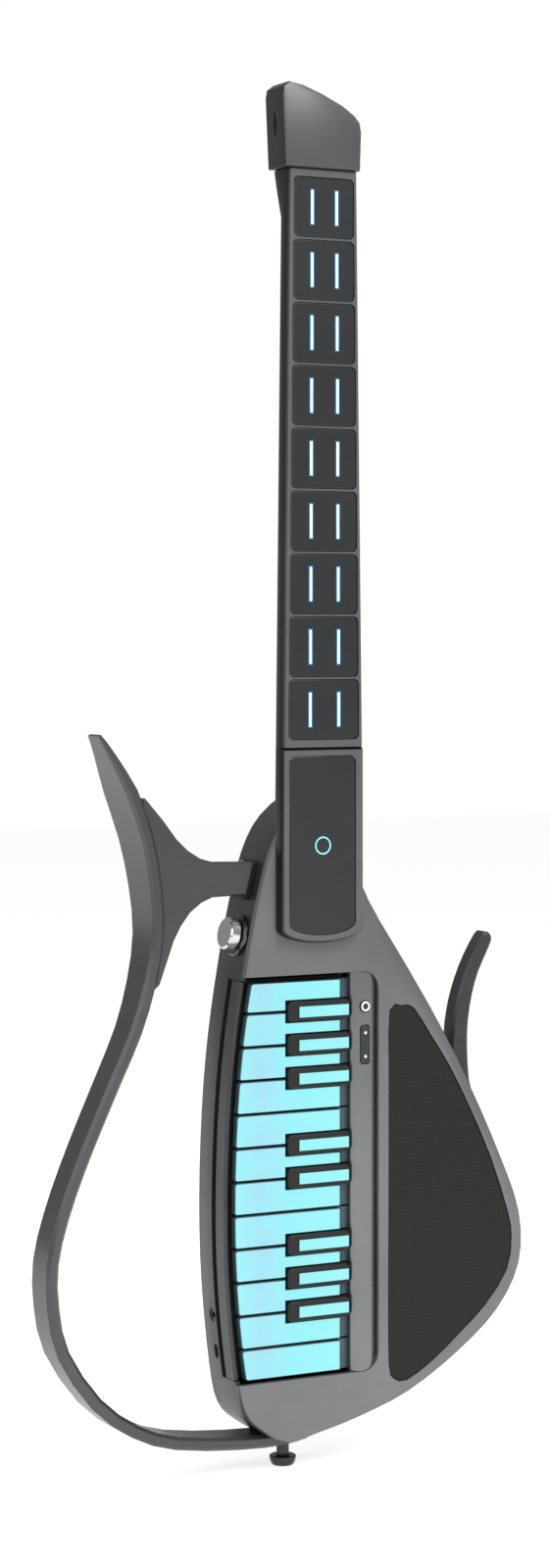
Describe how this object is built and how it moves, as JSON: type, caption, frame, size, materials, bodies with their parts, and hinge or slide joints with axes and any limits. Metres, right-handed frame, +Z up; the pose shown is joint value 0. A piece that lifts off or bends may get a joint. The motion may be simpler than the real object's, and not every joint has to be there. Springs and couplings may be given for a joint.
{
  "type": "stringless smart guitar",
  "caption": "Stringless electronic guitar with lit keys in the body, touch pads along the neck, a speaker grille and a side ribbon wing.",
  "frame": {"origin": "middle of the strap button's flat end face, at the bottom of the body", "axes": "+Z up the neck, +Y from the front to the back, +X to the player's view right of the front"},
  "size_m": [0.3357, 0.0564, 0.8706],
  "materials": {
    "shell_grey": "satin",
    "panel_grey": "satin",
    "grille_mesh": "fine perforated",
    "neck_dark": "matte",
    "pad_charcoal": "satin",
    "key_glow": "translucent, lit",
    "key_black": "gloss",
    "strip_plastic": "gloss",
    "black_plastic": "matte",
    "chrome": "polished",
    "steel": "brushed",
    "board": "lacquered",
    "cell_wrap": "wrapped"
  },
  "bodies": {
    "guitar": {"body_rear_shell": "shell_grey", "right_horn": "shell_grey", "key_slip": "shell_grey", "body_front_panel": "panel_grey", "fretboard_frame": "panel_grey", "heel_plate": "panel_grey", "head_block": "panel_grey", "side_wing": "panel_grey", "speaker_grille": "grille_mesh", "neck_shell": "neck_dark", "heel_pad": "pad_charcoal", "control_strip": "strip_plastic", "key_bed": "black_plastic", "wing_bracket": "black_plastic", "speaker_driver": "black_plastic", "tweeter_driver": "black_plastic", "knob_collar": "chrome", "strap_button": "steel", "bracket_screw_1": "steel", "bracket_screw_2": "steel", "headphone_jack": "steel", "charge_port": "steel", "key_pivot_rod": "steel", "main_board": "board", "neck_board": "board", "battery_pack": "cell_wrap"},
    "tone_knob_body": {"tone_knob": "chrome"},
    "power_button_body": {"power_button": "black_plastic"},
    "volume_rocker_body": {"volume_rocker": "black_plastic"},
    "head_switch_body": {"head_switch": "black_plastic"},
    "white_key_1_body": {"white_key_1": "key_glow"},
    "white_key_2_body": {"white_key_2": "key_glow"},
    "white_key_3_body": {"white_key_3": "key_glow"},
    "white_key_4_body": {"white_key_4": "key_glow"},
    "white_key_5_body": {"white_key_5": "key_glow"},
    "white_key_6_body": {"white_key_6": "key_glow"},
    "white_key_7_body": {"white_key_7": "key_glow"},
    "white_key_8_body": {"white_key_8": "key_glow"},
    "white_key_9_body": {"white_key_9": "key_glow"},
    "white_key_10_body": {"white_key_10": "key_glow"},
    "white_key_11_body": {"white_key_11": "key_glow"},
    "white_key_12_body": {"white_key_12": "key_glow"},
    "black_key_1_body": {"black_key_1": "key_black"},
    "black_key_2_body": {"black_key_2": "key_black"},
    "black_key_3_body": {"black_key_3": "key_black"},
    "black_key_4_body": {"black_key_4": "key_black"},
    "black_key_5_body": {"black_key_5": "key_black"},
    "black_key_6_body": {"black_key_6": "key_black"},
    "black_key_7_body": {"black_key_7": "key_black"},
    "black_key_8_body": {"black_key_8": "key_black"},
    "fret_pad_1_body": {"fret_pad_1": "pad_charcoal"},
    "fret_pad_2_body": {"fret_pad_2": "pad_charcoal"},
    "fret_pad_3_body": {"fret_pad_3": "pad_charcoal"},
    "fret_pad_4_body": {"fret_pad_4": "pad_charcoal"},
    "fret_pad_5_body": {"fret_pad_5": "pad_charcoal"},
    "fret_pad_6_body": {"fret_pad_6": "pad_charcoal"},
    "fret_pad_7_body": {"fret_pad_7": "pad_charcoal"},
    "fret_pad_8_body": {"fret_pad_8": "pad_charcoal"},
    "fret_pad_9_body": {"fret_pad_9": "pad_charcoal"}
  },
  "joints": [
    {"name": "tone_knob_turn", "type": "hinge", "parent": "guitar", "child": "tone_knob_body", "pos_m": [-0.03343, -0.0039, 0.3365], "axis": [-0.9806, 0, 0.196], "continuous": true},
    {"name": "power_button_press", "type": "slide", "parent": "guitar", "child": "power_button_body", "axis": [0, 1, 0], "range_m": [0, 0.0008], "stiffness_N_per_m": 400},
    {"name": "volume_rocker_tilt", "type": "hinge", "parent": "guitar", "child": "volume_rocker_body", "pos_m": [0.0485, -0.0172, 0.2649], "axis": [1, 0, 0], "range_deg": [-2.5, 2.5], "stiffness_Nm_per_rad": 0.05},
    {"name": "head_switch_slide", "type": "slide", "parent": "guitar", "child": "head_switch_body", "axis": [0, 0, 1], "range_m": [-0.0035, 0.0035]},
    {"name": "white_key_1_press", "type": "hinge", "parent": "guitar", "child": "white_key_1_body", "pos_m": [0.0434, -0.0106, 0.18], "axis": [0, 0, -1], "range_deg": [0, 2.3], "stiffness_Nm_per_rad": 0.6},
    {"name": "white_key_2_press", "type": "hinge", "parent": "guitar", "child": "white_key_2_body", "pos_m": [0.0434, -0.0106, 0.18], "axis": [0, 0, -1], "range_deg": [0, 2.3], "stiffness_Nm_per_rad": 0.6},
    {"name": "white_key_3_press", "type": "hinge", "parent": "guitar", "child": "white_key_3_body", "pos_m": [0.0434, -0.0106, 0.18], "axis": [0, 0, -1], "range_deg": [0, 2.3], "stiffness_Nm_per_rad": 0.6},
    {"name": "white_key_4_press", "type": "hinge", "parent": "guitar", "child": "white_key_4_body", "pos_m": [0.0434, -0.0106, 0.18], "axis": [0, 0, -1], "range_deg": [0, 2.3], "stiffness_Nm_per_rad": 0.6},
    {"name": "white_key_5_press", "type": "hinge", "parent": "guitar", "child": "white_key_5_body", "pos_m": [0.0434, -0.0106, 0.18], "axis": [0, 0, -1], "range_deg": [0, 2.3], "stiffness_Nm_per_rad": 0.6},
    {"name": "white_key_6_press", "type": "hinge", "parent": "guitar", "child": "white_key_6_body", "pos_m": [0.0434, -0.0106, 0.18], "axis": [0, 0, -1], "range_deg": [0, 2.3], "stiffness_Nm_per_rad": 0.6},
    {"name": "white_key_7_press", "type": "hinge", "parent": "guitar", "child": "white_key_7_body", "pos_m": [0.0434, -0.0106, 0.18], "axis": [0, 0, -1], "range_deg": [0, 2.3], "stiffness_Nm_per_rad": 0.6},
    {"name": "white_key_8_press", "type": "hinge", "parent": "guitar", "child": "white_key_8_body", "pos_m": [0.0434, -0.0106, 0.18], "axis": [0, 0, -1], "range_deg": [0, 2.3], "stiffness_Nm_per_rad": 0.6},
    {"name": "white_key_9_press", "type": "hinge", "parent": "guitar", "child": "white_key_9_body", "pos_m": [0.0434, -0.0106, 0.18], "axis": [0, 0, -1], "range_deg": [0, 2.3], "stiffness_Nm_per_rad": 0.6},
    {"name": "white_key_10_press", "type": "hinge", "parent": "guitar", "child": "white_key_10_body", "pos_m": [0.0434, -0.0106, 0.18], "axis": [0, 0, -1], "range_deg": [0, 2.3], "stiffness_Nm_per_rad": 0.6},
    {"name": "white_key_11_press", "type": "hinge", "parent": "guitar", "child": "white_key_11_body", "pos_m": [0.0434, -0.0106, 0.18], "axis": [0, 0, -1], "range_deg": [0, 2.3], "stiffness_Nm_per_rad": 0.6},
    {"name": "white_key_12_press", "type": "hinge", "parent": "guitar", "child": "white_key_12_body", "pos_m": [0.0434, -0.0106, 0.18], "axis": [0, 0, -1], "range_deg": [0, 2.3], "stiffness_Nm_per_rad": 0.6},
    {"name": "black_key_1_press", "type": "hinge", "parent": "guitar", "child": "black_key_1_body", "pos_m": [0.0434, -0.0106, 0.18], "axis": [0, 0, -1], "range_deg": [0, 2.3], "stiffness_Nm_per_rad": 0.6},
    {"name": "black_key_2_press", "type": "hinge", "parent": "guitar", "child": "black_key_2_body", "pos_m": [0.0434, -0.0106, 0.18], "axis": [0, 0, -1], "range_deg": [0, 2.3], "stiffness_Nm_per_rad": 0.6},
    {"name": "black_key_3_press", "type": "hinge", "parent": "guitar", "child": "black_key_3_body", "pos_m": [0.0434, -0.0106, 0.18], "axis": [0, 0, -1], "range_deg": [0, 2.3], "stiffness_Nm_per_rad": 0.6},
    {"name": "black_key_4_press", "type": "hinge", "parent": "guitar", "child": "black_key_4_body", "pos_m": [0.0434, -0.0106, 0.18], "axis": [0, 0, -1], "range_deg": [0, 2.3], "stiffness_Nm_per_rad": 0.6},
    {"name": "black_key_5_press", "type": "hinge", "parent": "guitar", "child": "black_key_5_body", "pos_m": [0.0434, -0.0106, 0.18], "axis": [0, 0, -1], "range_deg": [0, 2.3], "stiffness_Nm_per_rad": 0.6},
    {"name": "black_key_6_press", "type": "hinge", "parent": "guitar", "child": "black_key_6_body", "pos_m": [0.0434, -0.0106, 0.18], "axis": [0, 0, -1], "range_deg": [0, 2.3], "stiffness_Nm_per_rad": 0.6},
    {"name": "black_key_7_press", "type": "hinge", "parent": "guitar", "child": "black_key_7_body", "pos_m": [0.0434, -0.0106, 0.18], "axis": [0, 0, -1], "range_deg": [0, 2.3], "stiffness_Nm_per_rad": 0.6},
    {"name": "black_key_8_press", "type": "hinge", "parent": "guitar", "child": "black_key_8_body", "pos_m": [0.0434, -0.0106, 0.18], "axis": [0, 0, -1], "range_deg": [0, 2.3], "stiffness_Nm_per_rad": 0.6},
    {"name": "fret_pad_1_press", "type": "slide", "parent": "guitar", "child": "fret_pad_1_body", "axis": [0, 1, 0], "range_m": [0, 0.0008], "stiffness_N_per_m": 800},
    {"name": "fret_pad_2_press", "type": "slide", "parent": "guitar", "child": "fret_pad_2_body", "axis": [0, 1, 0], "range_m": [0, 0.0008], "stiffness_N_per_m": 800},
    {"name": "fret_pad_3_press", "type": "slide", "parent": "guitar", "child": "fret_pad_3_body", "axis": [0, 1, 0], "range_m": [0, 0.0008], "stiffness_N_per_m": 800},
    {"name": "fret_pad_4_press", "type": "slide", "parent": "guitar", "child": "fret_pad_4_body", "axis": [0, 1, 0], "range_m": [0, 0.0008], "stiffness_N_per_m": 800},
    {"name": "fret_pad_5_press", "type": "slide", "parent": "guitar", "child": "fret_pad_5_body", "axis": [0, 1, 0], "range_m": [0, 0.0008], "stiffness_N_per_m": 800},
    {"name": "fret_pad_6_press", "type": "slide", "parent": "guitar", "child": "fret_pad_6_body", "axis": [0, 1, 0], "range_m": [0, 0.0008], "stiffness_N_per_m": 800},
    {"name": "fret_pad_7_press", "type": "slide", "parent": "guitar", "child": "fret_pad_7_body", "axis": [0, 1, 0], "range_m": [0, 0.0008], "stiffness_N_per_m": 800},
    {"name": "fret_pad_8_press", "type": "slide", "parent": "guitar", "child": "fret_pad_8_body", "axis": [0, 1, 0], "range_m": [0, 0.0008], "stiffness_N_per_m": 800},
    {"name": "fret_pad_9_press", "type": "slide", "parent": "guitar", "child": "fret_pad_9_body", "axis": [0, 1, 0], "range_m": [0, 0.0008], "stiffness_N_per_m": 800}
  ]
}
